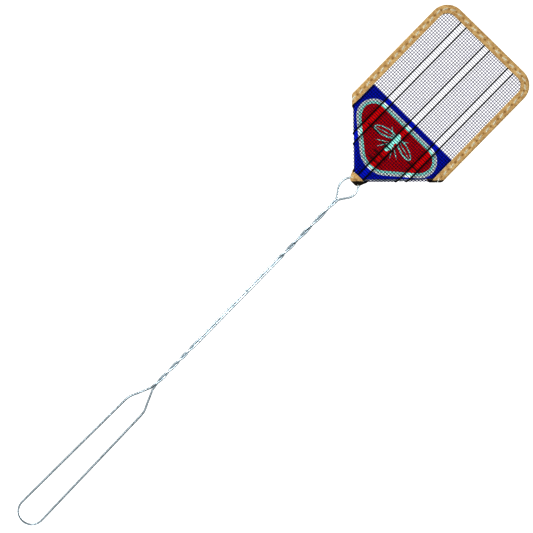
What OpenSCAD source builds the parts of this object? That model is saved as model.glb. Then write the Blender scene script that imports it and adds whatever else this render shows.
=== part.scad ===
// Wire fly swatter: a sheet of woven wire screen, bound all round with stitched
// tape, has its two near corners folded back over the prongs of a twisted wire
// handle and stapled, with a printed label held in the fold.
// It stands upright: +Z runs from the grip to the far edge, the front faces -Y,
// and the origin is the middle of the grip loop, in the plane of the handle wire.

/* [Screen] */
// Light wires in each inch of screen, both ways
mesh_count = 12; // [12:1:12]
// Diameter of the light wires
light_d = 0.36; // [0.25:0.01:0.4]
// Diameter of the six stiffening wires
heavy_d = 1.0; // [0.8:0.05:1.0]
// Width of the bound sheet
sheet_w = 106; // [103:1:107]
// Height of the far edge above the point where the fold lines meet
far_h = 163; // [155:1:170]
// Depth of the near edge below the point where the fold lines meet
near_h = 3.9; // [3.5:0.1:4.1]
// Radius of the sheet's corners
corner_r = 16; // [14:1:18]

/* [Tape] */
// Width of the folded tape
tape_w = 7.2; // [6.5:0.1:8]
// Thickness of the tape
tape_t = 0.3; // [0.25:0.05:0.3]
// Stitches in each inch of the seam
stitches = 3; // [2:1:4]
// Thickness of the thread
thread_d = 0.5; // [0.3:0.1:0.6]

/* [Label] */
// Height of the label's straight far edge above the fold lines' meeting point
label_h = 67.4; // [60:0.1:75]
// Thickness of the label
label_t = 0.25; // [0.15:0.05:0.25]

/* [Handle] */
// Diameter of the handle wire
wire_d = 1.6; // [1.4:0.1:1.6]
// Height of the fold lines' meeting point above the middle of the grip
fold_z = 324.5; // [320:0.5:330]
// How far along the fold, sideways, each prong reaches
prong_x = 41; // [30:1:42]
// Half the length of the grip, from the throat to the outside of its end
grip_half = 78.5; // [70:0.5:80]
// Half the distance between the wires at the closed end of the grip
grip_r = 11.3; // [10:0.1:13]
// Half the distance between the wires at the grip's shoulders
shoulder_x = 9.4; // [8:0.1:10]

/* [Staples] */
// Diameter of the staple wire
staple_d = 0.64; // [0.5:0.02:0.66]
// Distance between the legs of a staple
staple_w = 12.2; // [12:0.1:12.3]

/* [Hidden] */
$fn = 48;
eps = 0.01;
pitch = 25.4 / mesh_count;
half_w = sheet_w / 2;

// Distances of the front sheet's layers from the plane of the handle wire. Room is
// left behind the stiffening wires, where the woven cross wires pass behind them.
// The flaps hold the same layers, turned over, behind the handle wire.
inner_y = wire_d / 2 + 0.03;
slot_y = inner_y + tape_t;
heavy_y = slot_y + light_d + 0.02 + heavy_d / 2;
cross_y = heavy_y + heavy_d / 2 + 0.015 + light_d / 2;
length_y = cross_y - light_d - 0.01;
slot_out = cross_y + light_d / 2 + 0.015;
outer_y = slot_out + tape_t;

// Each fold takes up two pitches of screen each way in its half turn
fold_take = 2 * pitch;
// Gap between the wires' ends and the inside of the tape's fold
edge_gap = 0.8;
// Half widths of the blunt tip and of the rolled tape beside it
tip_half = 4.6;
roll_half = 3.6;
// Lap of the rolled tape over the flat tape that it joins
roll_lap = 0.05;

// Places of the wires, counted in pitches from the centre line
heavy_places = [-14, -11, -1, 2, 12, 15];
gap_places = [-13, -12, 0, 1, 13, 14];
last_place = floor((half_w - edge_gap) / pitch);
light_places = [for (k = [-last_place:last_place])
    if (len(search(k, heavy_places)) == 0 && len(search(k, gap_places)) == 0) k];
cross_places = [ceil((edge_gap - near_h) / pitch) : floor((far_h - edge_gap) / pitch)];

// Staples: centre, sideways and up, in pitches from the fold lines' meeting point
flap_staple_places = [[-9.4, 19.28], [12.6, 19.28]];
seam_staple_places = [[-0.4, 17.7], [-0.4, 13.45], [-0.4, 10.42]];
staple_places = concat(flap_staple_places, seam_staple_places);

// Turns of the two handle wires round each other: height and angle of the pair
twist = [[78.5, -720], [84.7, -630], [98.2, -450], [111.8, -270], [122.5, -90],
    [129, 0], [233, 0], [238.5, 90], [253.2, 270], [271.3, 450], [290, 630], [301, 720]];
twist_r = wire_d / 2 + 0.06;
twist_step = 1.6;
// Heights between which the pair is twisted, below and above its straight middle
low_twist = [80.1, 129];
high_twist = [233, 299.4];
// Bend points of one wire, sideways and up: the neck eye, then the grip's shoulder
eye = [[twist_r, 298], [twist_r, 301], [3.4, 305.2], [6.4, 309.6], [7.7, 314.2],
    [6.9, 318.6], [5, 322.4], [4.7, 325.8], [6.8, fold_z + 6.8], [10, fold_z + 10]];
shoulder = [[twist_r, 82], [twist_r + 0.1, 78.5], [3.2, 73], [6, 66.5], [8.6, 60.5],
    [shoulder_x, 55], [shoulder_x + 0.1, 49]];

// Handle wire

function unit(v) = v / norm(v);
function spline(a, b, c, d, t) = 0.5 * (2 * b + (c - a) * t
    + (2 * a - 5 * b + 4 * c - d) * t * t + (3 * b - a - 3 * c + d) * t * t * t);
// Smooth run through the inner points of a list, in steps from each to the next
function smooth(p, steps) = [for (i = [1:len(p) - 3]) for (s = [0:steps - 1])
    spline(p[i - 1], p[i], p[i + 1], p[i + 2], s / steps)];
function upright(p) = [for (q = p) [q[0], 0, q[1]]];
function paired(z) = [twist_r * cos(lookup(z, twist)), twist_r * sin(lookup(z, twist)), z];
function reversed(p) = [for (i = [len(p) - 1:-1:0]) p[i]];
function heights(span) = let (n = ceil((span[1] - span[0]) / twist_step))
    [for (i = [0:n - 1]) span[0] + (span[1] - span[0]) * i / n];

grip_end = wire_d / 2 - grip_half + grip_r;
up_wire = concat(
    upright(reversed(smooth(shoulder, 3))),
    [for (z = concat(heights(low_twist), [low_twist[1], (low_twist[1] + high_twist[0]) / 2],
        heights(high_twist))) paired(z)],
    upright(smooth(eye, 3)),
    [[prong_x, 0, fold_z + prong_x]]);
half_loop = [for (a = [-90:15:0]) [grip_r * cos(a), 0, grip_end + grip_r * sin(a)]];
right_wire = concat(half_loop, up_wire);
left_wire = [for (i = [len(right_wire) - 1:-1:1]) [-right_wire[i].x, -right_wire[i].y,
    right_wire[i].z]];
wire_path = concat(left_wire, right_wire);

module tube(path, d, sides) {
    last = len(path) - 1;
    r = d / 2 * sqrt(2 * PI / (sides * sin(360 / sides)));
    rings = [for (i = [0:last]) let (
        t = unit(unit(path[min(i + 1, last)] - path[i == last ? last - 1 : i])
            + unit(path[i == 0 ? 1 : i] - path[max(i - 1, 0)])),
        b = unit([0, 1, 0] - t * t.y),
        n = cross(b, t))
        [for (k = [0:sides - 1]) path[i]
            + r * (cos(k * 360 / sides) * n + sin(k * 360 / sides) * b)]];
    side_faces = [for (i = [0:last - 1]) for (k = [0:sides - 1]) let (
        j = (k + 1) % sides)
        [i * sides + k, (i + 1) * sides + k, (i + 1) * sides + j, i * sides + j]];
    caps = [[for (k = [0:sides - 1]) k],
        [for (k = [sides - 1:-1:0]) last * sides + k]];
    polyhedron([for (ring = rings) for (p = ring) p], concat(side_faces, caps));
}

module handle_wire() {
    color([0.74, 0.77, 0.8]) tube(wire_path, wire_d, 8);
}

// The flat sheet, before it is folded

// Plates in the sheet's plane, from the layer nearest the handle to the outer one
module slab(y0, y1) {
    translate([0, -y0, fold_z]) rotate([90, 0, 0]) linear_extrude(y1 - y0) children();
}

module rounded(inset) {
    r = corner_r - inset;
    flat_w = half_w - corner_r;
    top = far_h - corner_r;
    bottom = corner_r - near_h;
    translate([-flat_w - r, bottom]) square([2 * (flat_w + r), top - bottom]);
    translate([-flat_w, bottom - r]) square([2 * flat_w, top - bottom + 2 * r]);
    for (x = [-flat_w, flat_w], y = [bottom, top]) translate([x, y]) circle(r);
}

// What stays in front: the sheet above the two fold lines, and the blunt tip
module front_part() {
    polygon([[-half_w, far_h], [-half_w, half_w], [-tip_half, tip_half],
        [-tip_half, -near_h], [tip_half, -near_h], [tip_half, tip_half],
        [half_w, half_w], [half_w, far_h]]);
}

// The corner that is turned back, less what the half turn takes up
module corner_part(side) {
    reach = half_w + near_h - 2 * fold_take;
    polygon([[side * half_w, -near_h], [side * half_w, reach - near_h],
        [side * (half_w - reach), -near_h]]);
}

// Turns a corner of the flat sheet back round its fold line
module folded(side) {
    translate([side * fold_take, 0, fold_z - fold_take])
        rotate(a = 180, v = [side, 0, 1]) translate([0, 0, -fold_z]) children();
}

function corner_drop(a, start) = a <= start ? 0
    : corner_r - sqrt(max(0, pow(corner_r - edge_gap, 2) - pow(a - start, 2))) - edge_gap;
function low_end(x) = corner_drop(abs(x), half_w - corner_r) + edge_gap - near_h;
function high_end(x) = far_h - edge_gap - corner_drop(abs(x), half_w - corner_r);
function side_end(z) = half_w - edge_gap
    - corner_drop(max(corner_r - near_h - z, z - far_h + corner_r), 0);

module up_wire_piece(x, z0, z1, y, d) {
    if (z1 - z0 > 2 * d) translate([x, -y, fold_z + z0]) cylinder(h = z1 - z0, d = d);
}

module cross_wire_piece(x0, x1, z, y, d) {
    if (x1 - x0 > 2 * d) translate([x0, -y, fold_z + z]) rotate([0, 90, 0])
        cylinder(h = x1 - x0, d = d);
}

// Screen

module front_length_wire(place, y, d) {
    x = place * pitch;
    start = abs(x) <= tip_half ? low_end(x) : abs(x);
    up_wire_piece(x, start, high_end(x), y, d);
}

module flap_length_wire(place, y, d) {
    x = place * pitch;
    up_wire_piece(x, low_end(x), abs(x) - 2 * fold_take, y, d);
}

module screen_cross_wires() {
    color([0.2, 0.2, 0.22]) for (j = cross_places) let (z = j * pitch,
        end = min(side_end(z), max(z, tip_half - 0.5)))
        cross_wire_piece(-end, end, z, cross_y, light_d);
}

module screen_length_wires() {
    color([0.2, 0.2, 0.22]) for (k = light_places) front_length_wire(k, length_y, light_d);
}

module stiffening_wire(i) {
    color([0.12, 0.13, 0.13]) front_length_wire(heavy_places[i - 1], heavy_y, heavy_d);
}

module flap_cross_wires(side) {
    color([0.2, 0.2, 0.22]) folded(side) for (j = cross_places) let (z = j * pitch,
        start = z + 2 * fold_take, end = side_end(z))
        if (side > 0) cross_wire_piece(start, end, z, cross_y, light_d);
        else cross_wire_piece(-end, -start, z, cross_y, light_d);
}

module flap_length_wires(side) {
    color([0.2, 0.2, 0.22]) folded(side) for (k = light_places) if (k * side > 0)
        flap_length_wire(k, length_y, light_d);
}

module flap_stiffening_wires(side) {
    color([0.12, 0.13, 0.13]) folded(side) for (k = heavy_places) if (k * side > 0)
        flap_length_wire(k, heavy_y, heavy_d);
}

// Tape

module tape_ring() {
    difference() {
        rounded(0);
        rounded(tape_w);
    }
}

module tape_plate() {
    difference() {
        slab(inner_y, outer_y) intersection() {
            tape_ring();
            children();
        }
        slab(slot_y, slot_out) rounded(0.5);
    }
}

// Half turn of tape round a fold line, between two places along it
module tape_roll(side, x0, x1) {
    length = (x1 - x0) * sqrt(2);
    translate([side * x0, 0, fold_z + x0]) rotate([0, side * 45, 0]) difference() {
        cylinder(h = length, r = outer_y);
        translate([0, 0, -1]) cylinder(h = length + 2, r = inner_y);
        translate([0, 0, 0.5]) difference() {
            cylinder(h = length - 1, r = slot_out);
            translate([0, 0, -1]) cylinder(h = length + 2, r = slot_y);
        }
        translate([side > 0 ? -4 * outer_y - roll_lap : roll_lap, -2 * outer_y, -1])
            cube([4 * outer_y, 4 * outer_y, length + 2]);
    }
}

module staple_legs(d) {
    for (s = staple_places, x = [-staple_w / 2, staple_w / 2])
        translate([s.x * pitch + x, 2 * outer_y, fold_z + s.y * pitch])
            rotate([90, 0, 0]) cylinder(h = 4 * outer_y, d = d);
}

module edge_tape() {
    color([0.76, 0.62, 0.42]) difference() {
        union() {
            tape_plate() front_part();
            for (side = [-1, 1]) {
                folded(side) tape_plate() corner_part(side);
                intersection() {
                    tape_roll(side, half_w - tape_w - fold_take, half_w + 1);
                    translate([-half_w, -outer_y, fold_z - half_w])
                        cube([2 * half_w, 2 * outer_y, 3 * half_w]);
                }
                intersection() {
                    tape_roll(side, -2, roll_half + 1);
                    translate([-roll_half, -outer_y, fold_z - near_h])
                        cube([2 * roll_half, 2 * outer_y, 3 * roll_half]);
                }
            }
        }
        staple_legs(staple_d + 0.04);
    }
}

// Thread

seam_w = half_w - tape_w / 2;
seam_r = corner_r - tape_w / 2;
seam_top = far_h - tape_w / 2;
seam_low = tape_w / 2 - near_h;
seam_side = seam_top - seam_low - 2 * seam_r;
seam_cross = 2 * (seam_w - seam_r);
seam_arc = PI * seam_r / 2;
// Half the seam, from the middle of the near edge up the right side to the middle
// of the far edge: place and direction at a distance along it
function seam_at(s) =
    s < seam_cross / 2 ? [s, seam_low, 0]
    : s < seam_cross / 2 + seam_arc ? let (a = (s - seam_cross / 2) / seam_r * 180 / PI)
        [seam_w - seam_r + seam_r * sin(a), seam_low + seam_r - seam_r * cos(a), a]
    : s < seam_cross / 2 + seam_arc + seam_side
        ? [seam_w, seam_low + seam_r + s - seam_cross / 2 - seam_arc, 90]
    : s < seam_cross / 2 + 2 * seam_arc + seam_side
        ? let (a = (s - seam_cross / 2 - seam_arc - seam_side) / seam_r * 180 / PI)
            [seam_w - seam_r + seam_r * cos(a), seam_top - seam_r + seam_r * sin(a), 90 + a]
    : [seam_cross + 2 * seam_arc + seam_side - s, seam_top, 180];
seam_half = seam_cross + 2 * seam_arc + seam_side;
stitch_pitch = 25.4 / stitches;
stitch_len = 0.55 * stitch_pitch;
seam_places = [for (s = [stitch_pitch / 2:stitch_pitch:seam_half]) seam_at(s)];

module stitch(side, p, y) {
    translate([side * p[0], -y, fold_z + p[1]]) rotate([0, 90 - side * p[2], 0])
        translate([0, 0, -stitch_len / 2]) cylinder(h = stitch_len, d = thread_d);
}

module seam(y) {
    for (side = [-1, 1]) {
        for (p = seam_places) if (p[1] > p[0] + stitch_len) stitch(side, p, y);
        folded(side) for (p = seam_places) if (p[0] - p[1] > 2 * fold_take + stitch_len)
            stitch(side, p, y);
    }
}

module needle_thread() {
    color([0.8, 0.79, 0.75]) seam(outer_y + thread_d / 2 + eps);
}

module bobbin_thread() {
    color([0.8, 0.79, 0.75]) seam(inner_y - thread_d / 2 - eps);
}

// Label and staples

module label() {
    low = tape_w - near_h + 0.1;
    side_x = half_w - tape_w - 0.1;
    color([0.05, 0.12, 0.7]) difference() {
        slab(inner_y + 0.02, inner_y + 0.02 + label_t)
            polygon([[-side_x, label_h], [-side_x, side_x], [-low, low], [low, low],
                [side_x, side_x], [side_x, label_h]]);
        staple_legs(staple_d + 0.04);
    }
}

// Crown in front, two legs through the layers, and points clinched inwards behind
module staple(place) {
    front = outer_y + eps + staple_d / 2;
    clinch = 0.36 * staple_w;
    translate([place.x * pitch, 0, fold_z + place.y * pitch]) {
        translate([-staple_w / 2, -front, 0]) rotate([0, 90, 0])
            cylinder(h = staple_w, d = staple_d);
        for (side = [-1, 1]) translate([side * staple_w / 2, 0, 0]) {
            for (y = [-front, front]) translate([0, y, 0]) sphere(d = staple_d);
            translate([0, front, 0]) rotate([90, 0, 0])
                cylinder(h = 2 * front, d = staple_d);
            translate([side > 0 ? -clinch : 0, front, 0]) rotate([0, 90, 0])
                cylinder(h = clinch, d = staple_d);
        }
    }
}

module flap_staples() {
    color([0.35, 0.36, 0.38]) for (place = flap_staple_places) staple(place);
}

module seam_staples() {
    color([0.35, 0.36, 0.38]) for (place = seam_staple_places) staple(place);
}

handle_wire();
screen_cross_wires();
screen_length_wires();
for (i = [1:6])
    stiffening_wire(i);
flap_cross_wires(-1);  // left_flap_cross_wires
flap_length_wires(-1);  // left_flap_length_wires
flap_stiffening_wires(-1);  // left_flap_stiffening_wires
flap_cross_wires(1);  // right_flap_cross_wires
flap_length_wires(1);  // right_flap_length_wires
flap_stiffening_wires(1);  // right_flap_stiffening_wires
edge_tape();
needle_thread();
bobbin_thread();
label();
flap_staples();
seam_staples();
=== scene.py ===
import math

import bmesh
import bpy
from mathutils import Matrix, Vector, noise


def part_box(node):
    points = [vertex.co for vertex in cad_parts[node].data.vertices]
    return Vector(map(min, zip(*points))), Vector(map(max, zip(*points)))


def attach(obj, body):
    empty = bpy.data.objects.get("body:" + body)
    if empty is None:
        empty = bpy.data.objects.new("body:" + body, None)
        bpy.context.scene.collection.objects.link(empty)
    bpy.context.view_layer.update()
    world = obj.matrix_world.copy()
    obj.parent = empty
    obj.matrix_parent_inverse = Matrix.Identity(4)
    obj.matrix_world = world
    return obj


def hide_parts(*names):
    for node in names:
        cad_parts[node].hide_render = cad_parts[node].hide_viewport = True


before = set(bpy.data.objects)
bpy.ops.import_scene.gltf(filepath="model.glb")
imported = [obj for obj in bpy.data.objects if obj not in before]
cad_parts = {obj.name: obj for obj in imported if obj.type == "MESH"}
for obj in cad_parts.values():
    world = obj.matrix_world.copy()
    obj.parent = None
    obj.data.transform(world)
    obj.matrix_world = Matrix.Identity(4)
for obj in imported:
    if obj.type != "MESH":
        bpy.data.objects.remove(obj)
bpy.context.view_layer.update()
mm = 0.001
rootTwo = math.sqrt(2)

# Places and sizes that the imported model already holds.
tapeLow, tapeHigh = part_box("edge_tape")
labelLow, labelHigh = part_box("label")
wireLow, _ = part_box("handle_wire")
heavyLow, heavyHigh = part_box("stiffening_wire_3")
crossLow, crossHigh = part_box("screen_cross_wires")

sheet = {
    "pitch": 25.4 / 12 * mm,
    "nearDrop": 3.9 * mm,  # near edge, below the point where the fold lines meet
    "cornerRadius": 16 * mm,
    "edgeGap": 0.8 * mm,
    "heavyPlaces": (-14, -11, -1, 2, 12, 15),
    "emptyPlaces": (-13, -12, 0, 1, 13, 14),
}
pitch = sheet["pitch"]
halfWidth = tapeHigh.x
foldHeight = tapeLow.z + sheet["nearDrop"]
farHeight = tapeHigh.z - foldHeight
midPlane = -(heavyLow.y + heavyHigh.y) / 2
heavyWire = heavyHigh.x - heavyLow.x
lightWire = crossHigh.y - crossLow.y
print("frame read:", len(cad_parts), "nodes, sheet", round(2 * halfWidth / mm, 1), "mm wide")


# Small tools for building node trees


def addNode(tree, kind, settings=None, inputs=None):
    node = tree.nodes.new(kind)
    for name, value in (settings or {}).items():
        setattr(node, name, value)
    for name, value in (inputs or {}).items():
        if isinstance(value, bpy.types.NodeSocket):
            tree.links.new(value, node.inputs[name])
        else:
            node.inputs[name].default_value = value
    return node


def calc(tree, operation, *values):
    return addNode(tree, "ShaderNodeMath", {"operation": operation}, dict(enumerate(values))).outputs[0]


def splitPlace(tree, place):
    return addNode(tree, "ShaderNodeSeparateXYZ", inputs={0: place}).outputs


def joinPlace(tree, x=0.0, y=0.0, z=0.0):
    return addNode(tree, "ShaderNodeCombineXYZ", inputs={0: x, 1: y, 2: z}).outputs[0]


def objectPlace(tree):
    return addNode(tree, "ShaderNodeTexCoord").outputs["Object"]


def fade(tree, value, start, end, first=0.0, last=1.0, kind="SMOOTHSTEP"):
    return addNode(tree, "ShaderNodeMapRange", {"interpolation_type": kind}, {
        "Value": value, "From Min": start, "From Max": end, "To Min": first, "To Max": last}).outputs[0]


def mixColours(tree, share, first, second):
    return addNode(tree, "ShaderNodeMix", {"data_type": "RGBA"}, {0: share, 6: first, 7: second}).outputs[2]


def scaleColour(tree, colour, amount):
    return addNode(tree, "ShaderNodeVectorMath", {"operation": "SCALE"},
                   {"Vector": colour, "Scale": amount}).outputs[0]


def newTree(name, kind, inputs, outputs):
    tree = bpy.data.node_groups.new(name, kind)
    for socketName, socketType in inputs:
        tree.interface.new_socket(socketName, in_out="INPUT", socket_type="NodeSocket" + socketType)
    for socketName, socketType in outputs:
        tree.interface.new_socket(socketName, in_out="OUTPUT", socket_type="NodeSocket" + socketType)
    return tree, tree.nodes.new("NodeGroupInput").outputs, tree.nodes.new("NodeGroupOutput")


def useGroup(tree, group, inputs):
    kind = "GeometryNodeGroup" if tree.bl_idname == "GeometryNodeTree" else "ShaderNodeGroup"
    return addNode(tree, kind, {"node_tree": group}, inputs).outputs


# Geometry trees

fold = {
    "halfTurn": 2 * rootTwo * pitch,  # length of sheet that goes round each fold
    "loosen": 2.2 * mm,  # how much wider the roll is at the tip, where the prongs come out
    "loosenFrom": 1 * mm,
    "loosenTo": 9 * mm,
    "tipBottom": -4.3 * mm,
    "tipRound": 1.2 * mm,
}
foldInputs = {
    "Fold Height": foldHeight, "Half Turn": fold["halfTurn"], "Loosen": fold["loosen"],
    "Loosen From": fold["loosenFrom"], "Loosen To": fold["loosenTo"],
    "Tip Bottom": fold["tipBottom"], "Tip Round": fold["tipRound"],
}
foldSockets = [(name, "Float") for name in foldInputs]


# Turns the two near corners of anything laid in the flat sheet back round their fold lines.
def makeFoldGroup():
    tree, given, result = newTree(
        "foldCorners", "GeometryNodeTree",
        [("Geometry", "Geometry")] + foldSockets, [("Geometry", "Geometry")])
    x, y, z = splitPlace(tree, addNode(tree, "GeometryNodeInputPosition").outputs[0])
    side = calc(tree, "SIGN", x)
    across = calc(tree, "ABSOLUTE", x)
    up = calc(tree, "SUBTRACT", z, given["Fold Height"])
    beyond = calc(tree, "MULTIPLY", calc(tree, "SUBTRACT", across, up), 1 / rootTwo)
    along = calc(tree, "MULTIPLY", calc(tree, "ADD", across, up), 1 / rootTwo)
    turn = calc(tree, "DIVIDE", beyond, given["Half Turn"])
    angle = calc(tree, "MULTIPLY", calc(tree, "MINIMUM", calc(tree, "MAXIMUM", turn, 0), 1), math.pi)
    loosen = fade(tree, along, given["Loosen From"], given["Loosen To"], given["Loosen"], 0.0)
    layer = calc(tree, "MULTIPLY", y, -1)
    rolled = calc(tree, "MULTIPLY", calc(tree, "ADD", layer, loosen), calc(tree, "SINE", angle))
    before = calc(tree, "MINIMUM", beyond, 0)
    after = calc(tree, "MAXIMUM", calc(tree, "SUBTRACT", beyond, given["Half Turn"]), 0)
    out = calc(tree, "SUBTRACT", calc(tree, "ADD", before, rolled), after)
    newAcross = calc(tree, "MULTIPLY", calc(tree, "ADD", along, out), 1 / rootTwo)
    newUp = calc(tree, "MULTIPLY", calc(tree, "SUBTRACT", along, out), 1 / rootTwo)
    newUp = calc(tree, "SMOOTH_MAX", newUp, given["Tip Bottom"], given["Tip Round"])
    newPlace = joinPlace(
        tree, calc(tree, "MULTIPLY", side, newAcross),
        calc(tree, "MULTIPLY", y, calc(tree, "COSINE", angle)),
        calc(tree, "ADD", newUp, given["Fold Height"]))
    moved = addNode(tree, "GeometryNodeSetPosition",
                    inputs={"Geometry": given["Geometry"], "Position": newPlace})
    tree.links.new(moved.outputs[0], result.inputs[0])
    return tree


foldGroup = makeFoldGroup()


def foldUp(tree, given, geometry):
    sizes = {name: given[name] for name in foldInputs}
    return useGroup(tree, foldGroup, {"Geometry": geometry, **sizes})[0]


# A round wire's surface round a line.
def sweepRound(tree, given, line):
    radius = calc(tree, "MULTIPLY", given["Diameter"], 0.5)
    ring = addNode(tree, "GeometryNodeCurvePrimitiveCircle", inputs={
        "Resolution": given["Sides"], "Radius": radius})
    return addNode(tree, "GeometryNodeCurveToMesh", inputs={
        "Curve": line, "Profile Curve": ring.outputs[0], "Fill Caps": True}).outputs[0]


def finishTree(tree, geometry, given, result):
    smooth = addNode(tree, "GeometryNodeSetShadeSmooth", inputs={"Geometry": geometry})
    real = addNode(tree, "GeometryNodeRealizeInstances", inputs={"Geometry": smooth.outputs[0]})
    painted = addNode(tree, "GeometryNodeSetMaterial", inputs={
        "Geometry": real.outputs[0], "Material": given["Material"]})
    tree.links.new(painted.outputs[0], result.inputs[0])


# Sweeps a round wire along the edges of a mesh, folded with the sheet if asked.
def makeWireTree(folded):
    tree, given, result = newTree(
        "foldedWire" if folded else "plainWire", "GeometryNodeTree",
        [("Geometry", "Geometry"), ("Diameter", "Float"), ("Sides", "Int"), ("Material", "Material")]
        + (foldSockets if folded else []),
        [("Geometry", "Geometry")])
    lines = foldUp(tree, given, given["Geometry"]) if folded else given["Geometry"]
    curve = addNode(tree, "GeometryNodeMeshToCurve", inputs={"Mesh": lines})
    finishTree(tree, sweepRound(tree, given, curve.outputs[0]), given, result)
    return tree


# Folds a finished flat mesh.
def makeSheetTree():
    tree, given, result = newTree(
        "foldedSheet", "GeometryNodeTree",
        [("Geometry", "Geometry"), ("Material", "Material")] + foldSockets, [("Geometry", "Geometry")])
    finishTree(tree, foldUp(tree, given, given["Geometry"]), given, result)
    return tree


# Lays an arched stitch on every point, turned to the seam's direction there, then folds them.
def makeStitchTree():
    tree, given, result = newTree(
        "seamStitches", "GeometryNodeTree",
        [("Geometry", "Geometry"), ("Length", "Float"), ("Diameter", "Float"), ("Rise", "Float"),
         ("Points", "Int"), ("Sides", "Int"), ("Material", "Material")] + foldSockets,
        [("Geometry", "Geometry")])
    half = calc(tree, "MULTIPLY", given["Length"], 0.5)
    line = addNode(tree, "GeometryNodeCurvePrimitiveLine", inputs={
        "Start": joinPlace(tree, x=calc(tree, "MULTIPLY", half, -1)), "End": joinPlace(tree, x=half)})
    points = addNode(tree, "GeometryNodeResampleCurve", inputs={
        "Curve": line.outputs[0], "Count": given["Points"]})
    x = splitPlace(tree, addNode(tree, "GeometryNodeInputPosition").outputs[0])[0]
    share = calc(tree, "ABSOLUTE", calc(tree, "DIVIDE", x, half))
    drop = calc(tree, "MULTIPLY", calc(tree, "POWER", share, 4), given["Rise"])
    arched = addNode(tree, "GeometryNodeSetPosition", inputs={
        "Geometry": points.outputs[0], "Offset": joinPlace(tree, z=calc(tree, "MULTIPLY", drop, -1))})
    thread = sweepRound(tree, given, arched.outputs[0])
    turn = addNode(tree, "GeometryNodeInputNamedAttribute", {"data_type": "FLOAT_VECTOR"}, {"Name": "turn"})
    spread = addNode(tree, "GeometryNodeInstanceOnPoints", inputs={
        "Points": given["Geometry"], "Instance": thread, "Rotation": turn.outputs[0]})
    real = addNode(tree, "GeometryNodeRealizeInstances", inputs={"Geometry": spread.outputs[0]})
    finishTree(tree, foldUp(tree, given, real.outputs[0]), given, result)
    return tree


foldedWireTree = makeWireTree(True)
plainWireTree = makeWireTree(False)
sheetTree = makeSheetTree()
stitchTree = makeStitchTree()


# Runs a tree on a mesh and leaves a plain mesh that rides on the only body.
def buildPiece(name, mesh, tree, values, replaced):
    draft = bpy.data.objects.new(name + "Draft", mesh)
    bpy.context.scene.collection.objects.link(draft)
    modifier = draft.modifiers.new("build", "NODES")
    modifier.node_group = tree
    for item in tree.interface.items_tree:
        if item.item_type == "SOCKET" and item.in_out == "INPUT" and item.name in values:
            modifier[item.identifier] = values[item.name]
    graph = bpy.context.evaluated_depsgraph_get()
    finished = bpy.data.meshes.new_from_object(
        draft.evaluated_get(graph), preserve_all_data_layers=True, depsgraph=graph)
    draft.modifiers.clear()
    bpy.data.objects.remove(draft)
    finished.name = name
    piece = bpy.data.objects.new(name, finished)
    bpy.context.scene.collection.objects.link(piece)
    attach(piece, "root")
    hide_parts(*replaced)
    print("made", name, len(finished.polygons), "faces")
    return piece


def strandMesh(name, strands):
    points = []
    edges = []
    for strand in strands:
        first = len(points)
        points.extend(strand)
        edges.extend((i, i + 1) for i in range(first, len(points) - 1))
    mesh = bpy.data.meshes.new(name)
    mesh.from_pydata(points, edges, [])
    return mesh


# Materials


def newMaterial(name, settings):
    material = bpy.data.materials.new(name)
    material.use_nodes = True
    tree = material.node_tree
    shader = next(node for node in tree.nodes if node.type == "BSDF_PRINCIPLED")
    for socketName, value in settings.items():
        shader.inputs[socketName].default_value = value
    return material, tree, shader


toneChange = {
    "blotchShare": 0.6,
    "blotchDetail": 4.0,
    "blotchRoughness": 0.6,
    "speckDetail": 2.0,
}


# Slow and fine blotches of tone, for metal and cloth alike.
def makeToneGroup():
    tree, given, result = newTree(
        "toneChange", "ShaderNodeTree",
        [("Dark", "Color"), ("Light", "Color"), ("Blotch Scale", "Float"), ("Speck Scale", "Float"),
         ("Contrast", "Float")],
        [("Color", "Color"), ("Mask", "Float")])
    place = objectPlace(tree)
    blotch = addNode(tree, "ShaderNodeTexNoise", inputs={
        "Vector": place, "Scale": given["Blotch Scale"], "Detail": toneChange["blotchDetail"],
        "Roughness": toneChange["blotchRoughness"]}).outputs[0]
    speck = addNode(tree, "ShaderNodeTexNoise", inputs={
        "Vector": place, "Scale": given["Speck Scale"], "Detail": toneChange["speckDetail"]}).outputs[0]
    both = calc(tree, "ADD", calc(tree, "MULTIPLY", blotch, toneChange["blotchShare"]),
                calc(tree, "MULTIPLY", speck, 1 - toneChange["blotchShare"]))
    stretched = calc(tree, "MULTIPLY", calc(tree, "SUBTRACT", both, 0.5), given["Contrast"])
    mask = addNode(tree, "ShaderNodeClamp", inputs={0: calc(tree, "ADD", stretched, 0.5)}).outputs[0]
    tree.links.new(mixColours(tree, mask, given["Dark"], given["Light"]), result.inputs["Color"])
    tree.links.new(mask, result.inputs["Mask"])
    return tree


toneGroup = makeToneGroup()


def addBump(tree, shader, height, strength, distance):
    bump = addNode(tree, "ShaderNodeBump", inputs={
        "Strength": strength, "Distance": distance, "Height": height})
    tree.links.new(bump.outputs[0], shader.inputs["Normal"])


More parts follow.
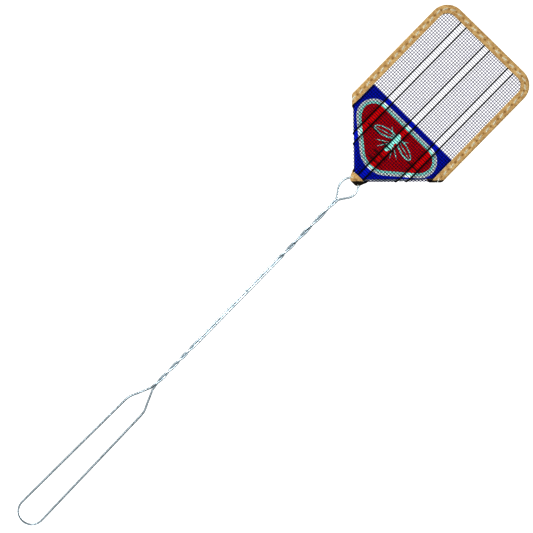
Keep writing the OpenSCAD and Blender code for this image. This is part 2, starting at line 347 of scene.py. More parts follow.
# Each wire's dark and light tones, roughness of each, and how many blotches and specks to a metre.
wireFinish = {
    "galvanisedWire": {
        "dark": (0.30, 0.35, 0.37, 1), "light": (0.56, 0.62, 0.66, 1), "darkRough": 0.44, "lightRough": 0.3,
        "blotches": 160.0, "specks": 700.0, "shader": {"Metallic": 1.0}},
    "stapleSteel": {
        "dark": (0.001, 0.010, 0.005, 1), "light": (0.005, 0.035, 0.018, 1), "darkRough": 0.6,
        "lightRough": 0.35, "blotches": 500.0, "specks": 2500.0, "shader": {"Specular IOR Level": 0.2}},
    "screenSteel": {
        "dark": (0.002, 0.001, 0.03, 1), "light": (0.009, 0.007, 0.11, 1), "darkRough": 0.8,
        "lightRough": 0.5, "blotches": 300.0, "specks": 2500.0, "shader": {"Specular IOR Level": 0.1}},
    "stiffeningSteel": {
        "dark": (0.0, 0.001, 0.001, 1), "light": (0.003, 0.006, 0.007, 1), "darkRough": 0.65,
        "lightRough": 0.4, "blotches": 300.0, "specks": 1800.0, "shader": {"Specular IOR Level": 0.15}},
    "cottonThread": {
        "dark": (0.37, 0.37, 0.32, 1), "light": (0.69, 0.71, 0.66, 1), "darkRough": 0.9, "lightRough": 0.7,
        "blotches": 500.0, "specks": 2600.0, "shader": {"Specular IOR Level": 0.2}},
    "contrast": 3.0,
    "bumpStrength": 0.2,
    "bumpDepth": 0.02 * mm,
}


def wireMaterial(name):
    finish = wireFinish[name]
    material, tree, shader = newMaterial(name, finish["shader"])
    tone = useGroup(tree, toneGroup, {
        "Dark": finish["dark"], "Light": finish["light"], "Blotch Scale": finish["blotches"],
        "Speck Scale": finish["specks"], "Contrast": wireFinish["contrast"]})
    tree.links.new(tone["Color"], shader.inputs["Base Color"])
    rough = fade(tree, tone["Mask"], 0.0, 1.0, finish["darkRough"], finish["lightRough"], "LINEAR")
    tree.links.new(rough, shader.inputs["Roughness"])
    addBump(tree, shader, tone["Mask"], wireFinish["bumpStrength"], wireFinish["bumpDepth"])
    return material


# Painted shade along the handle wire: the grip, the twisted neck and the eye are painted darker than the
# straight shaft, which stands in for the highlight that lights the shaft most.
handleShade = {
    "grip": 0.67,  # painted shade: how bright the grip is painted, as a share of the shaft, where the shaft's lamp highlight doesn't reach
    "gripTop": 86 * mm,
    "neck": 0.86,  # the same painted shade on the tight twist under the neck, whose crossings shade each other
    "neckBottom": 238 * mm,
    "neckTop": 293 * mm,
    "eye": 0.94,
    "blend": 8 * mm,
}


# Paints shade on the handle wire along its height, over what its own tones already do.
def paintHandleShade(material):
    tree = material.node_tree
    base = next(node for node in tree.nodes if node.type == "BSDF_PRINCIPLED").inputs["Base Color"]
    colour = base.links[0].from_socket
    height = splitPlace(tree, objectPlace(tree))[2]
    tone = 1.0
    for middle, first, last in ((handleShade["gripTop"], handleShade["grip"], 1.0),
                                (handleShade["neckBottom"], 1.0, handleShade["neck"]),
                                (handleShade["neckTop"], 1.0, handleShade["eye"] / handleShade["neck"])):
        change = fade(tree, height, middle - handleShade["blend"], middle + handleShade["blend"], first, last)
        tone = calc(tree, "MULTIPLY", tone, change)
    tree.links.new(scaleColour(tree, colour, tone), base)


galvanised = wireMaterial("galvanisedWire")
paintHandleShade(galvanised)
stapleSteel = wireMaterial("stapleSteel")
screenSteel = wireMaterial("screenSteel")
stiffSteel = wireMaterial("stiffeningSteel")
threadCotton = wireMaterial("cottonThread")

weave = {
    "threads": 2200.0,  # to a metre
    "over": 0.3,  # share of the height from threads passing over each other
    "ribs": 0.35,  # and from each thread's own roundness
}


# Height of a plain weave that follows a piece's own map.
def makeWeaveGroup():
    tree, given, result = newTree(
        "plainWeave", "ShaderNodeTree", [("Threads Per Metre", "Float")], [("Height", "Float")])
    parts = splitPlace(tree, addNode(tree, "ShaderNodeUVMap", {"uv_map": "clothMap"}).outputs[0])
    count = calc(tree, "MULTIPLY", given["Threads Per Metre"], math.pi)
    alongWave = calc(tree, "SINE", calc(tree, "MULTIPLY", parts[0], count))
    acrossWave = calc(tree, "SINE", calc(tree, "MULTIPLY", parts[1], count))
    over = calc(tree, "MULTIPLY", alongWave, acrossWave)
    ribs = calc(tree, "ADD", calc(tree, "ABSOLUTE", alongWave), calc(tree, "ABSOLUTE", acrossWave))
    height = calc(tree, "ADD", calc(tree, "MULTIPLY", over, weave["over"]),
                  calc(tree, "MULTIPLY", ribs, weave["ribs"]))
    tree.links.new(height, result.inputs[0])
    return tree


weaveGroup = makeWeaveGroup()

seam = {
    "pitch": 25.4 / 3 * mm,
    "inset": 3.6 * mm,  # from the tape's folded edge to the stitches
    "dark": (0.35, 0.22, 0.10, 1),
    "light": (0.59, 0.48, 0.28, 1),
    "blotches": 420.0,
    "specks": 1250.0,
    "contrast": 2.6,
    "rubbed": (0.57, 0.57, 0.49, 1),
    "rubbedReach": (1.9 * mm, 0.4 * mm),  # from nothing to full, either side of the stitches
    "rubbedCycle": (0.35, -0.5),  # cosine round a stitch's length, 1 where it goes in
    "rubbedShare": 0.75,
    # painted shade in each stitch hole, where the thread pulls the tape in
    "holeShade": (0.17, 0.095, 0.035, 1),
    "holeShadeReach": (1.3 * mm, 0.3 * mm),
    "holeShadeCycle": (0.55, 0.95),
    "holeShadeShare": 0.5,
    # Painted shade: nearly black past the right fold line, on the roll's underside that faces away from the
    # light.
    "foldShade": (0.010, 0.007, 0.004, 1),
    "foldShadeFrom": 0.9 * mm,  # past the right fold line
    "foldShadeTo": 2.3 * mm,
    "foldShadeSpread": 0.9 * mm,
    "foldShadeShare": 0.96,
    "weaveReach": (0.1, 0.8),
    "weaveShade": (0.72, 1.06),  # from the gaps to the tops of the threads
    "weaveBump": 0.6,
    "weaveDepth": 0.12 * mm,
}


# Tan cotton tape: plain weave, mottled with use, rubbed pale along the seam, painted shade in each stitch
# hole where a stitch pulls in and painted shade, nearly black, where it goes round the right fold.
def tapeMaterial():
    material, tree, shader = newMaterial("tanTape", {
        "Roughness": 0.88, "Sheen Weight": 0.12, "Sheen Roughness": 0.5, "Specular IOR Level": 0.2})
    along, inward, _ = splitPlace(tree, addNode(tree, "ShaderNodeUVMap", {"uv_map": "clothMap"}).outputs[0])
    tone = useGroup(tree, toneGroup, {
        "Dark": seam["dark"], "Light": seam["light"], "Blotch Scale": seam["blotches"],
        "Speck Scale": seam["specks"], "Contrast": seam["contrast"]})
    height = useGroup(tree, weaveGroup, {"Threads Per Metre": weave["threads"]})[0]
    cycle = calc(tree, "COSINE", calc(tree, "MULTIPLY", along, 2 * math.pi / seam["pitch"]))
    away = calc(tree, "ABSOLUTE", calc(tree, "SUBTRACT", inward, seam["inset"]))

    rubbed = calc(tree, "MULTIPLY", fade(tree, away, *seam["rubbedReach"]),
                  fade(tree, cycle, *seam["rubbedCycle"]))
    rubbed = calc(tree, "MULTIPLY", rubbed, calc(tree, "MULTIPLY", tone["Mask"], seam["rubbedShare"]))
    # Painted shade in each stitch hole, where the thread pulls the tape in.
    holeShade = calc(tree, "MULTIPLY", fade(tree, away, *seam["holeShadeReach"]),
                fade(tree, cycle, *seam["holeShadeCycle"]))
    holeShade = calc(tree, "MULTIPLY", holeShade, seam["holeShadeShare"])
    # Painted shade past the right fold line, on the roll's shadowed underside, with a ragged edge from the
    # tone mask.
    x, _, z = splitPlace(tree, objectPlace(tree))
    aboveFold = calc(tree, "SUBTRACT", z, foldHeight)
    pastFold = calc(tree, "MULTIPLY", calc(tree, "SUBTRACT", x, aboveFold), 1 / rootTwo)
    uneven = calc(tree, "MULTIPLY", calc(tree, "SUBTRACT", tone["Mask"], 0.5), seam["foldShadeSpread"])
    foldShade = fade(tree, calc(tree, "SUBTRACT", pastFold, uneven), seam["foldShadeFrom"], seam["foldShadeTo"])
    foldShade = calc(tree, "MULTIPLY", foldShade, seam["foldShadeShare"])

    colour = mixColours(tree, rubbed, tone["Color"], seam["rubbed"])
    colour = mixColours(tree, holeShade, colour, seam["holeShade"])
    colour = mixColours(tree, foldShade, colour, seam["foldShade"])
    shade = fade(tree, height, *seam["weaveReach"], *seam["weaveShade"], "LINEAR")
    tree.links.new(scaleColour(tree, colour, shade), shader.inputs["Base Color"])
    addBump(tree, shader, height, seam["weaveBump"], seam["weaveDepth"])
    return material


print("materials ready")


# The flat sheet's outline


def cornerDrop(beyondStraight):
    radius = sheet["cornerRadius"]
    inner = radius - sheet["edgeGap"]
    if beyondStraight <= 0:
        return 0.0
    return inner - math.sqrt(max(0.0, inner * inner - beyondStraight * beyondStraight))


def nearEnd(x):
    return sheet["edgeGap"] - sheet["nearDrop"] + cornerDrop(abs(x) - halfWidth + sheet["cornerRadius"])


def farEnd(x):
    return farHeight - sheet["edgeGap"] - cornerDrop(abs(x) - halfWidth + sheet["cornerRadius"])


def sideEnd(up):
    radius = sheet["cornerRadius"]
    return halfWidth - sheet["edgeGap"] - cornerDrop(
        max(radius - sheet["nearDrop"] - up, up - farHeight + radius))


# Woven screen

lastPlace = int((halfWidth - sheet["edgeGap"]) / pitch)
lengthPlaces = [k for k in range(-lastPlace, lastPlace + 1) if k not in sheet["emptyPlaces"]]
lightPlaces = [k for k in lengthPlaces if k not in sheet["heavyPlaces"]]
crossPlaces = range(math.ceil((sheet["edgeGap"] - sheet["nearDrop"]) / pitch),
                    int((farHeight - sheet["edgeGap"]) / pitch) + 1)
screen = {
    "samples": 4,  # points in each pitch of a woven wire
    "sides": 5,
    "heavySides": 12,
}
lightLift = lightWire * 0.5
heavyLift = (heavyWire + lightWire) * 0.5


def liftAt(row, k):
    lift = heavyLift if k in sheet["heavyPlaces"] else lightLift
    return lift if (row + k) % 2 == 0 else -lift


def crossStrand(row):
    up = row * pitch
    end = sideEnd(up)
    count = max(4, round(2 * end / pitch * screen["samples"]))
    strand = []
    for i in range(count + 1):
        x = -end + 2 * end * i / count
        at = x / pitch
        left = max((k for k in lengthPlaces if k <= at), default=lengthPlaces[0])
        right = min((k for k in lengthPlaces if k > at), default=lengthPlaces[-1])
        share = 0 if right <= left else min(1, max(0, (at - left) / (right - left)))
        ease = (1 - math.cos(math.pi * share)) / 2
        lift = liftAt(row, left) * (1 - ease) + liftAt(row, right) * ease
        strand.append((x, -midPlane - lift, foldHeight + up))
    return strand


def lengthStrand(place):
    x = place * pitch
    low, high = nearEnd(x), farEnd(x)
    count = max(4, round((high - low) / pitch * screen["samples"]))
    strand = []
    for i in range(count + 1):
        up = low + (high - low) * i / count
        lift = lightLift * math.cos(math.pi * (up / pitch + place))
        strand.append((x, -midPlane + lift, foldHeight + up))
    return strand


def stiffStrand(place):
    x = place * pitch
    low, high = nearEnd(x), farEnd(x)
    count = round((high - low) / pitch) * 2
    return [(x, -midPlane, foldHeight + low + (high - low) * i / count) for i in range(count + 1)]


lightSettings = {"Diameter": lightWire, "Sides": screen["sides"], "Material": screenSteel, **foldInputs}
buildPiece("wovenCrossWires", strandMesh("crossLines", [crossStrand(row) for row in crossPlaces]),
           foldedWireTree, lightSettings,
           ["screen_cross_wires", "left_flap_cross_wires", "right_flap_cross_wires"])
buildPiece("wovenLengthWires", strandMesh("lengthLines", [lengthStrand(k) for k in lightPlaces]),
           foldedWireTree, lightSettings,
           ["screen_length_wires", "left_flap_length_wires", "right_flap_length_wires"])
buildPiece("stiffeningWires", strandMesh("stiffLines", [stiffStrand(k) for k in sheet["heavyPlaces"]]),
           foldedWireTree,
           {"Diameter": heavyWire, "Sides": screen["heavySides"], "Material": stiffSteel, **foldInputs},
           [f"stiffening_wire_{i}" for i in range(1, 7)]
           + ["left_flap_stiffening_wires", "right_flap_stiffening_wires"])


# Tape bound round the sheet's edge

tape = {
    "width": 7.2 * mm,
    "thickness": 0.3 * mm,
    "step": 0.7 * mm,
    "edgeRound": 0.9 * mm,
    "clearance": 0.06 * mm,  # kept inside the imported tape's thickness
    "crown": 0.04 * mm,
    "seamDip": 0.16 * mm,
    "dipReach": 0.11,  # share of the width
    "pleat": 0.10 * mm,
    "pleatsPerMm": 1.9,
    "waver": 0.12 * mm,
    "waverScale": 180,
    "ripple": 0.05 * mm,
    "rippleScale": 260,
}
halfTape = -tapeLow.y - midPlane


# Walks the sheet's outline from the middle of the near edge, up the right side and round:
# place, direction of travel, and how far into a corner it is.
def edgeAt(distance):
    radius = sheet["cornerRadius"]
    flatHalf = halfWidth - radius
    side = farHeight + sheet["nearDrop"] - 2 * radius
    arc = math.pi * radius / 2
    runs = [("line", flatHalf, 0), ("arc", arc, 0), ("line", side, 90), ("arc", arc, 90),
            ("line", 2 * flatHalf, 180), ("arc", arc, 180), ("line", side, 270), ("arc", arc, 270),
            ("line", flatHalf, 0)]
    x, up = 0.0, -sheet["nearDrop"]
    for kind, length, heading in runs:
        part = min(distance, length)
        a = math.radians(heading)
        if kind == "line":
            x, up = x + part * math.cos(a), up + part * math.sin(a)
            angle = a
        else:
            turn = part / radius
            cx, cy = x - radius * math.sin(a), up + radius * math.cos(a)
            angle = a + turn
            x, up = cx + radius * math.sin(angle), cy - radius * math.cos(angle)
        if distance <= length:
            return x, up, angle, kind == "arc"
        distance -= length
    return x, up, angle, False


straightWidth = 2 * (halfWidth - sheet["cornerRadius"])
straightHeight = farHeight + sheet["nearDrop"] - 2 * sheet["cornerRadius"]
edgeLength = 2 * straightWidth + 2 * straightHeight + 2 * math.pi * sheet["cornerRadius"]


def tapeSection(distance, bent):
    width = tape["width"] + tape["waver"] * noise.noise(Vector((distance * tape["waverScale"], 3, 0)))
    outerRun = [1, 0.93, 0.8, 0.68, 0.59, 0.5, 0.41, 0.3, 0.2, 0.12, 0.06, 0.02, 0]
    innerRun = [0.06, 0.2, 0.5, 0.8, 1]
    phase = math.cos(2 * math.pi * distance / seam["pitch"])

    def rise(share, front):
        turned = min(1.0, share * width / tape["edgeRound"])
        edge = math.sqrt(max(0.0, 1 - (1 - turned) ** 2))
        bulge = tape["crown"] * math.sin(math.pi * share)
        dip = tape["seamDip"] * math.exp(-((share - 0.5) / tape["dipReach"]) ** 2) * (0.5 + 0.5 * phase)
        pleat = tape["pleat"] * share * math.sin(distance / mm * tape["pleatsPerMm"]) if bent else 0.0
        spot = Vector((distance * tape["rippleScale"], share * 3, 7 if front else 11))
        ripple = tape["ripple"] * noise.noise(spot)
        return edge * (halfTape - tape["clearance"] + bulge - dip + pleat + ripple)

    loop = [(share * width, rise(share, True)) for share in outerRun]
    loop += [(share * width, -rise(share, False)) for share in reversed(outerRun[:-1])]
    inside = halfTape - tape["thickness"] - tape["clearance"]
    loop += [(share * width, -inside) for share in reversed(innerRun)]
    loop += [(share * width, inside) for share in innerRun]
    return loop


def makeTapeMesh():
    count = round(edgeLength / tape["step"])
    build = bmesh.new()
    rings = []
    marks = []
    for i in range(count):
        distance = edgeLength * i / count
        x, up, angle, bent = edgeAt(distance)
        inX, inUp = -math.sin(angle), math.cos(angle)
        mirrored = min(distance, edgeLength - distance)
        section = tapeSection(mirrored, bent)
        rings.append([build.verts.new((x + inward * inX, -midPlane - out, foldHeight + up + inward * inUp))
                      for inward, out in section])
        marks.append([(mirrored, inward) for inward, out in section])
    layer = build.loops.layers.uv.new("clothMap")
    size = len(rings[0])
    for i in range(count):
        j = (i + 1) % count
        for k in range(size):
            m = (k + 1) % size
            face = build.faces.new((rings[i][k], rings[j][k], rings[j][m], rings[i][m]))
            for loop, mark in zip(face.loops, (marks[i][k], marks[j][k], marks[j][m], marks[i][m])):
                loop[layer].uv = mark
    bmesh.ops.recalc_face_normals(build, faces=build.faces)
    mesh = bpy.data.meshes.new("tapeFlat")
    build.to_mesh(mesh)
    build.free()
    return mesh


buildPiece("boundTape", makeTapeMesh(), sheetTree, {"Material": tapeMaterial(), **foldInputs},
           ["edge_tape"])


# Stitches along the middle of the tape

stitching = {
    "length": 4.8 * mm,
    "diameter": 0.66 * mm,
    "rise": 0.45 * mm,
    "points": 11,
    "sides": 7,
    "proud": 0.02 * mm,
    "lean": 14,  # degrees each stitch leans from the seam's line
}


def stitchPoints(name, front):
    outward = 1 if front else -1
    layer = midPlane + outward * (halfTape + stitching["proud"])
    inset = tape["width"] / 2
    lean = math.radians(stitching["lean"])
    places = []
    spins = []
    for side in (-1, 1):
        for i in range(int(edgeLength / 2 / seam["pitch"])):
            x, up, angle, _ = edgeAt((i + 0.5) * seam["pitch"])
            x, up = x - inset * math.sin(angle), up + inset * math.cos(angle)
            places.append((side * x, -layer, foldHeight + up))
            spin = Matrix.Rotation(-(side * angle + lean), 3, "Y")
            spins.append((spin @ Matrix.Rotation(outward * math.pi / 2, 3, "X")).to_euler())
    mesh = bpy.data.meshes.new(name)
    mesh.from_pydata(places, [], [])
    attribute = mesh.attributes.new("turn", "FLOAT_VECTOR", "POINT")
    for item, spin in zip(attribute.data, spins):
        item.vector = spin
    return mesh


for pieceName, nodeName, front in (("needleStitches", "needle_thread", True),
                                   ("bobbinStitches", "bobbin_thread", False)):
    buildPiece(pieceName, stitchPoints(pieceName + "Points", front), stitchTree, {
        "Length": stitching["length"], "Diameter": stitching["diameter"], "Rise": stitching["rise"],
        "Points": stitching["points"], "Sides": stitching["sides"], "Material": threadCotton, **foldInputs},
        [nodeName])


# Handle wire

# In millimetres: heights with the twist's turn in degrees, and half widths with heights.
handle = {
    "diameter": 1.6,
    "twistRadius": 0.86,
    "twist": ((78.5, -720), (84.7, -630), (98.2, -450), (111.8, -270), (122.5, -90), (129, 0), (233, 0),
              (238.5, 90), (253.2, 270), (271.3, 450), (290, 630), (301, 720)),
    "step": 0.8,
    "straightStep": 10,
    "twistStart": 80.1,
    "twistEnd": 299.4,
    "straight": (129, 233),
    "eye": ((0.86, 298), (0.86, 301), (3.4, 305.2), (6.4, 309.6), (7.7, 314.2), (6.9, 318.6),
            (5, 322.4), (4.7, 325.8), (6.8, 331.3), (10, 334.5)),
    "shoulder": ((0.86, 82), (0.96, 78.5), (3.2, 73), (6, 66.5), (8.6, 60.5), (9.4, 55), (9.5, 49)),
    "gripEnd": (11.3, -66.4),
    "bendSteps": 8,
    "prongEnd": 41,
    "prongSteps": 16,
    "rightBow": 0.8,
    "bowLean": 0.7,  # under 1 puts the bow's middle nearer the tip
    "sides": 18,
}


# A smooth run of places through all the points but the first and the last.
def smoothRun(points):
    run = []
    steps = handle["bendSteps"]
    for i in range(1, len(points) - 2):
        a, b, c, d = (Vector(points[i + n]) for n in (-1, 0, 1, 2))
        for s in range(steps):
            t = s / steps
            run.append(0.5 * (2 * b + (c - a) * t + (2 * a - 5 * b + 4 * c - d) * t * t
                              + (3 * b - a - 3 * c + d) * t * t * t))
    return run


def twistAngle(height):
    stations = handle["twist"]
    for (z0, a0), (z1, a1) in zip(stations, stations[1:]):
        if height <= z1:
            return math.radians(a0 + (a1 - a0) * (height - z0) / (z1 - z0))
    return math.radians(stations[-1][1])


def rightWire():
    radius, endHeight = handle["gripEnd"]
    points = [(radius * math.cos(a), 0, endHeight + radius * math.sin(a))
              for a in (math.radians(d) for d in range(-90, 1, 6))]
    points += [(p[0], 0, p[1]) for p in reversed(smoothRun(handle["shoulder"]))]
    spread = handle["twistRadius"]
    low, high = handle["straight"]
    for start, end, step in ((handle["twistStart"], low, handle["step"]),
                             (low, high, handle["straightStep"]),
                             (high, handle["twistEnd"], handle["step"])):
        count = math.ceil((end - start) / step)
        for i in range(count):
            z = start + (end - start) * i / count
            points.append((spread * math.cos(twistAngle(z)), spread * math.sin(twistAngle(z)), z))
    return points + [(p[0], 0, p[1]) for p in smoothRun(handle["eye"])]


# One prong along its fold line, bowed out by up to the given amount.
def prong(side, bow):
    start = handle["eye"][-2][0]
    points = []
    for i in range(handle["prongSteps"] + 1):
        share = i / handle["prongSteps"]
        along = start + (handle["prongEnd"] - start) * share
        out = bow * math.sin(math.pi * share ** handle["bowLean"]) / rootTwo
        points.append((side * (along + out), 0, foldHeight / mm + along - out))
    return points


def wirePath():
    right = rightWire()
    left = [(-x, -y, z) for x, y, z in reversed(right[1:])]
    path = list(reversed(prong(-1, 0))) + left + right + prong(1, handle["rightBow"])
    return [tuple(c * mm for c in point) for point in path]


buildPiece("twistedHandleWire", strandMesh("handleLine", [wirePath()]), plainWireTree,
           {"Diameter": handle["diameter"] * mm, "Sides": handle["sides"], "Material": galvanised},
           ["handle_wire"])


# Staples

# In millimetres, but for the places, which are in wires across and up from where the fold lines meet.
staple = {
    "diameter": 0.64,
    "width": 12.2,
    "bend": 0.7,
    "front": 3.25,
    "back": 3.35,
    "clinch": 4.2,
    "clinchRise": (0.25, 0.1),  # at each leg's end and at its middle
    "bendSteps": 5,
    "flapPlaces": ((-9.4, 19.28), (12.6, 19.28)),
    "seamPlaces": ((-0.4, 17.7), (-0.4, 13.45), (-0.4, 10.42)),
    "sides": 10,
}


def stapleStrand(place):
    centre = Vector((place[0] * pitch, 0, foldHeight + place[1] * pitch)) / mm
    half, bend, clinch = staple["width"] / 2, staple["bend"], staple["clinch"]
    front, back = -staple["front"], staple["back"]
    endRise, middleRise = staple["clinchRise"]
    steps = staple["bendSteps"]
    side = [(half - clinch, back + endRise), (half - clinch / 2, back + middleRise), (half - bend, back)]
    for i in range(1, steps + 1):
        a = math.pi / 2 * (1 - i / steps)
        side.append((half - bend + bend * math.cos(a), back - bend + bend * math.sin(a)))
    side.append((half, 0))
    for i in range(steps + 1):
        a = -math.pi / 2 * i / steps
        side.append((half - bend + bend * math.cos(a), front + bend + bend * math.sin(a)))
    path = side + [(-x, y) for x, y in reversed(side)]
    return [tuple((centre + Vector((x, y, 0))) * mm) for x, y in path]


for pieceName, nodeName, key in (("flapStaples", "flap_staples", "flapPlaces"),
                                 ("seamStaples", "seam_staples", "seamPlaces")):
    strands = [stapleStrand(place) for place in staple[key]]
    buildPiece(pieceName, strandMesh(pieceName + "Lines", strands), plainWireTree,
               {"Diameter": staple["diameter"] * mm, "Sides": staple["sides"], "Material": stapleSteel},
               [nodeName])


# Label: the print is drawn by its material, in millimetres from the fold lines' meeting point

label = {
    "step": 1 * mm,
    "columns": 96,
    "leftWrap": 3.2 * mm,  # how far the card goes round the left fold
    "rightWrap": 0.0,
    "spring": 0.42 * mm,
    "springFrom": 3 * mm,
    "red": (0.53, 0.0, 0.0, 1),
    "blue": (0.001, 0.028, 0.50, 1),
    "mint": (0.38, 0.74, 0.66, 1),
    "cream": (0.68, 0.71, 0.67, 1),
    "bare": (0.60, 0.58, 0.52, 1),
    "top": 58.8,
    "side": 37.8,
    "topRadius": 11.0,
    "point": 12.1,
    "slope": 39.7,  # degrees of the two lower sides
    "pointRadius": 14.0,
    "shoulderBlend": 9.0,
    "border": 2.15,
    "inkEdge": 0.12,
    "grainScale": 900.0,
    "grainDetail": 3.0,
    "grainReach": (0.3, 0.7),
    "ink": (0.9, 1.05),
    "roughness": (0.36, 0.5),
    "grainBump": 0.15,
    "grainDepth": 0.03 * mm,
}
# The fly's ovals: middle across and up, half length, half width, and turn in degrees.
fly = {
    "head": (0, 50.2, 2.5, 2.3, 0),
    "chest": (0, 45.6, 2.5, 3.4, 0),
    "tail": (0, 39.2, 2.9, 5.4, 0),
    "wing": (11, 45.5, 10.5, 4.0, -16),
    "wingInside": (11.4, 45.6, 8.6, 2.5, -16),
    "vein": (10.5, 45.6, 9.5, 0.45, -16),
    "frontLeg": (6.5, 50.0, 4.4, 0.55, 38),
    "middleLeg": (7.5, 38.5, 5.6, 0.55, -32),
    "backLeg": (5.0, 36.0, 4.6, 0.55, -58),
}


# The card springs out against the screen where it goes round the left fold.
def labelLayer(x, up):
    beyond = (-x - up) / rootTwo
    share = min(1, max(0, 1 + beyond / label["springFrom"]))
    return label["spring"] * share * share * (3 - 2 * share)


def labelSide(up, wrap):
    return min(labelHigh.x, up + wrap * rootTwo)


def makeLabelMesh():
    low, high = labelLow.z - foldHeight, labelHigh.z - foldHeight
    rows = round((high - low) / label["step"])
    columns = label["columns"]
    build = bmesh.new()
    printed = build.verts.layers.float.new("printed")
    sheets = []
    for layer in (-labelLow.y, -labelHigh.y):
        grid = []
        for i in range(rows + 1):
            up = low + (high - low) * i / rows
            left, right = -labelSide(up, label["leftWrap"]), labelSide(up, label["rightWrap"])
            row = []
            for j in range(columns + 1):
                x = left + (right - left) * j / columns
                row.append(build.verts.new((x, -layer - labelLayer(x, up), foldHeight + up)))
            grid.append(row)
        for i in range(rows):
            for j in range(columns):
                build.faces.new((grid[i][j], grid[i][j + 1], grid[i + 1][j + 1], grid[i + 1][j]))
        sheets.append(grid)
    front, back = sheets
    for row in front:
        for corner in row:
            corner[printed] = 1
    rim = [(0, j) for j in range(columns)] + [(i, columns) for i in range(rows)]
    rim += [(rows, j) for j in range(columns, 0, -1)] + [(i, 0) for i in range(rows, 0, -1)]
    for (i0, j0), (i1, j1) in zip(rim, rim[1:] + rim[:1]):
        build.faces.new((front[i0][j0], back[i0][j0], back[i1][j1], front[i1][j1]))
    bmesh.ops.recalc_face_normals(build, faces=build.faces)
    mesh = bpy.data.meshes.new("labelFlat")
    build.to_mesh(mesh)
    build.free()
    return mesh


def labelMaterial():
    material, tree, shader = newMaterial("printedCard", {"Specular IOR Level": 0.12})
    place = objectPlace(tree)
    parts = splitPlace(tree, place)
    x = calc(tree, "MULTIPLY", parts[0], 1 / mm)
    up = calc(tree, "MULTIPLY", calc(tree, "SUBTRACT", parts[2], foldHeight), 1 / mm)
    across = calc(tree, "ABSOLUTE", x)

    def minus(a, b):
        return calc(tree, "SUBTRACT", a, b)

    def scaled(a, b):
        return calc(tree, "MULTIPLY", a, b)

    def either(first, *others):
        for shape in others:
            first = calc(tree, "MINIMUM", first, shape)
        return first

    # Where two straight sides meet at about a right angle, rounded to a radius.
    def rounded(first, second, radius):
        a, b = calc(tree, "ADD", first, radius), calc(tree, "ADD", second, radius)
        outA, outB = calc(tree, "MAXIMUM", a, 0), calc(tree, "MAXIMUM", b, 0)
        outside = calc(tree, "SQRT", calc(tree, "ADD", scaled(outA, outA), scaled(outB, outB)))
        inside = calc(tree, "MINIMUM", calc(tree, "MAXIMUM", a, b), 0)
        return minus(calc(tree, "ADD", outside, inside), radius)

    # Distance from one of the fly's ovals, and from its mirror image.
    def oval(part):
        middleX, middleUp, halfLength, halfWide, turn = fly[part]
        fromX, fromUp = minus(across, middleX), minus(up, middleUp)
        c, s = math.cos(math.radians(turn)), math.sin(math.radians(turn))
        u = calc(tree, "ADD", scaled(fromX, c), scaled(fromUp, s))
        v = minus(scaled(fromUp, c), scaled(fromX, s))
        shareU, shareV = scaled(u, 1 / halfLength), scaled(v, 1 / halfWide)
        square = calc(tree, "ADD", scaled(shareU, shareU), scaled(shareV, shareV))
        return scaled(minus(calc(tree, "SQRT", square), 1), min(halfLength, halfWide))

    def past(distance):
        return fade(tree, distance, -label["inkEdge"], label["inkEdge"], kind="LINEAR")

    slope = math.radians(label["slope"])
    drop = minus(label["point"] * math.cos(slope), scaled(up, math.cos(slope)))
    lean = scaled(x, math.sin(slope))
    lower = rounded(calc(tree, "ADD", drop, lean), minus(drop, lean), label["pointRadius"])
    shield = rounded(minus(up, label["top"]), minus(across, label["side"]), label["topRadius"])
    shield = calc(tree, "SMOOTH_MAX", shield, lower, label["shoulderBlend"])
    wing = calc(tree, "MAXIMUM", oval("wing"), scaled(oval("wingInside"), -1))
    drawing = either(wing, *(oval(part) for part in fly if not part.startswith("wing")))

    colour = mixColours(tree, past(drawing), label["mint"], label["red"])
    colour = mixColours(tree, past(shield), colour, label["mint"])
    colour = mixColours(tree, past(minus(shield, label["border"])), colour, label["cream"])
    colour = mixColours(tree, past(minus(shield, 2 * label["border"])), colour, label["blue"])
    printedSide = addNode(tree, "ShaderNodeAttribute", {"attribute_name": "printed"}).outputs["Fac"]
    colour = mixColours(tree, calc(tree, "GREATER_THAN", printedSide, 0.5), label["bare"], colour)
    grain = addNode(tree, "ShaderNodeTexNoise", inputs={
        "Vector": place, "Scale": label["grainScale"], "Detail": label["grainDetail"]}).outputs[0]
    ink = fade(tree, grain, *label["grainReach"], *label["ink"], "LINEAR")
    rough = fade(tree, grain, *label["grainReach"], *label["roughness"], "LINEAR")
    tree.links.new(scaleColour(tree, colour, ink), shader.inputs["Base Color"])
    tree.links.new(rough, shader.inputs["Roughness"])
    addBump(tree, shader, grain, label["grainBump"], label["grainDepth"])
    return material


buildPiece("printedLabel", makeLabelMesh(), sheetTree, {"Material": labelMaterial(), **foldInputs},
           ["label"])


# Floor, light and camera

studio = {
    "lens": 200,
    "sensor": 36,
    "frameWidth": 448.8 * mm,
    "aim": (-2.9 * mm, 0, 219.1 * mm),
    "roll": 44.4,
    "floorDrop": 0.09,
    "floorRadius": 1.1,
    "floorFade": (0.35, 0.98),  # shares of the radius
    "contrast": 0.54,
    "exposure": 0.18,
    "ambient": (0.22, 0.85),
    "ambientReach": (-0.6, 0.9),
    "brightSide": (-0.62, -0.55, 0.56),
    "lamps": (  # name, place, target, size, power
        ("keyLamp", (-1.2, -1.5, 0.32), (0, 0, 0.3), 0.6, 26),
        ("fillLamp", (1.3, -1.3, 0.5), (0, 0, 0.3), 1.2, 12),
        ("backLamp", (0.9, 1.5, 1.3), (0, 0, 0.35), 1.0, 55),
    ),
}


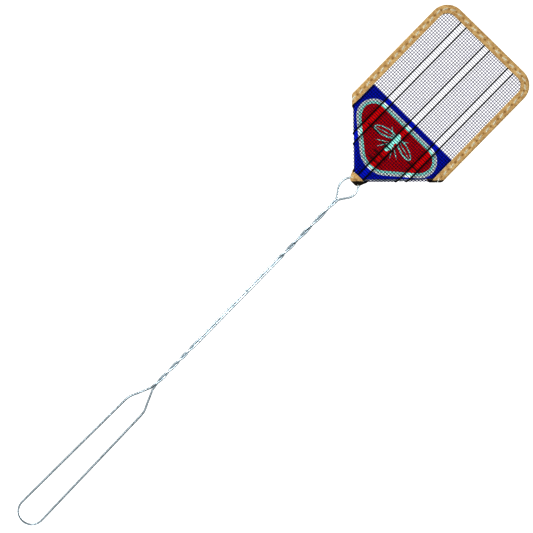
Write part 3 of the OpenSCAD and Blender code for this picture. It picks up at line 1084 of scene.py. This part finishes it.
def makeFloor():
    build = bmesh.new()
    bmesh.ops.create_circle(build, cap_ends=True, segments=96, radius=studio["floorRadius"])
    mesh = bpy.data.meshes.new("floor")
    build.to_mesh(mesh)
    build.free()
    floor = bpy.data.objects.new("floor", mesh)
    bpy.context.scene.collection.objects.link(floor)
    floor.location.z = wireLow.z - studio["floorDrop"]
    material, tree, shader = newMaterial("paleFloor", {
        "Base Color": (0.93, 0.93, 0.93, 1), "Roughness": 0.8})
    reach = addNode(tree, "ShaderNodeVectorMath", {"operation": "LENGTH"},
                    {0: objectPlace(tree)}).outputs["Value"]
    start, end = (share * studio["floorRadius"] for share in studio["floorFade"])
    tree.links.new(fade(tree, reach, start, end, 1.0, 0.0), shader.inputs["Alpha"])
    mesh.materials.append(material)


# White where the camera sees it, and brighter from one side where it lights the pieces.
def makeWorld():
    world = bpy.data.worlds.new("studioWorld")
    bpy.context.scene.world = world
    world.use_nodes = True
    tree = world.node_tree
    background = next(node for node in tree.nodes if node.type == "BACKGROUND")
    background.inputs["Color"].default_value = (1, 1, 1, 1)
    seen = addNode(tree, "ShaderNodeLightPath").outputs["Is Camera Ray"]
    direction = addNode(tree, "ShaderNodeTexCoord").outputs["Generated"]
    facing = addNode(tree, "ShaderNodeVectorMath", {"operation": "DOT_PRODUCT"},
                     {0: direction, 1: studio["brightSide"]}).outputs["Value"]
    ambient = fade(tree, facing, *studio["ambientReach"], *studio["ambient"])
    unseen = calc(tree, "SUBTRACT", 1.0, seen)
    strength = calc(tree, "ADD", seen, calc(tree, "MULTIPLY", unseen, ambient))
    tree.links.new(strength, background.inputs["Strength"])


def addLamp(name, place, target, size, power):
    lamp = bpy.data.lights.new(name, "AREA")
    lamp.shape = "DISK"
    lamp.size = size
    lamp.energy = power
    holder = bpy.data.objects.new(name, lamp)
    bpy.context.scene.collection.objects.link(holder)
    holder.location = place
    aim = Vector(target) - Vector(place)
    holder.rotation_euler = aim.to_track_quat("-Z", "Y").to_euler()


def makeCamera():
    data = bpy.data.cameras.new("camera")
    data.lens = studio["lens"]
    data.sensor_width = studio["sensor"]
    distance = studio["frameWidth"] * studio["lens"] / studio["sensor"]
    camera = bpy.data.objects.new("camera", data)
    bpy.context.scene.collection.objects.link(camera)
    aim = Vector(studio["aim"])
    camera.matrix_world = (
        Matrix.Translation(aim - Vector((0, distance, 0))) @ Matrix.Rotation(math.pi / 2, 4, "X")
        @ Matrix.Rotation(math.radians(studio["roll"]), 4, "Z"))
    data.clip_start, data.clip_end = 0.05, 50
    bpy.context.scene.camera = camera


makeFloor()
makeWorld()
for lampSettings in studio["lamps"]:
    addLamp(*lampSettings)
makeCamera()
bpy.context.scene.view_settings.view_transform = "Standard"
bpy.context.scene.view_settings.exposure = studio["exposure"]
bpy.context.scene.view_settings.gamma = studio["contrast"]
print("studio ready")
